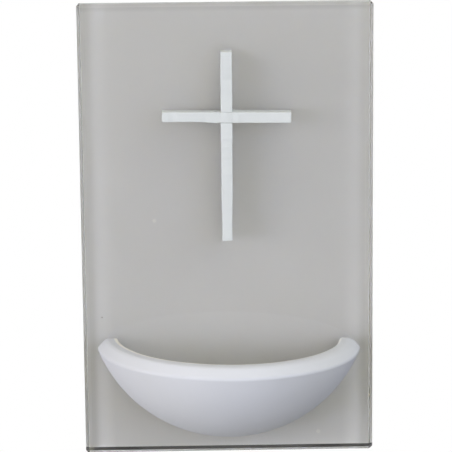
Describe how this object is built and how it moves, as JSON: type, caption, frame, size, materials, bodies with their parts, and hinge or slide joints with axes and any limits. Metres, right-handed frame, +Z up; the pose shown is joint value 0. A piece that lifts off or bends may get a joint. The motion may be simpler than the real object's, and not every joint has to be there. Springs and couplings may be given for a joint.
{
  "type": "holy water stoup",
  "caption": "Small wall-hung holy water stoup: a back-coloured glass plate that carries a slim cross and an open half bowl, with a keyhole hanger behind.",
  "frame": {"origin": "centre of the hanging hole, in the plane of the wall", "axes": "+Z up, +Y into the wall, -Y out of the front of the plate, +X to the right as seen from the front"},
  "size_m": [0.1, 0.0541, 0.1566],
  "materials": {
    "clear_glass": "polished float glass with a faint green edge",
    "warm_grey_coat": "opaque lacquer seen through the glass",
    "white_ceramic": "matte white, fine cast surface",
    "clear_adhesive": "clear cured adhesive",
    "zinc_plated_steel": "bright zinc plate",
    "foam_tape": "white closed-cell foam",
    "buffer_rubber": "soft matte"
  },
  "bodies": {
    "root": {"glass_plate": "clear_glass", "rear_colour_coat": "warm_grey_coat", "bowl": "white_ceramic", "bowl_bond": "clear_adhesive", "cross_upright": "white_ceramic", "cross_arm": "white_ceramic", "cross_bond": "clear_adhesive", "hanger_plate": "zinc_plated_steel", "hanger_tape_left": "foam_tape", "hanger_tape_right": "foam_tape", "wall_buffer_left": "buffer_rubber", "wall_buffer_right": "buffer_rubber"}
  },
  "joints": []
}
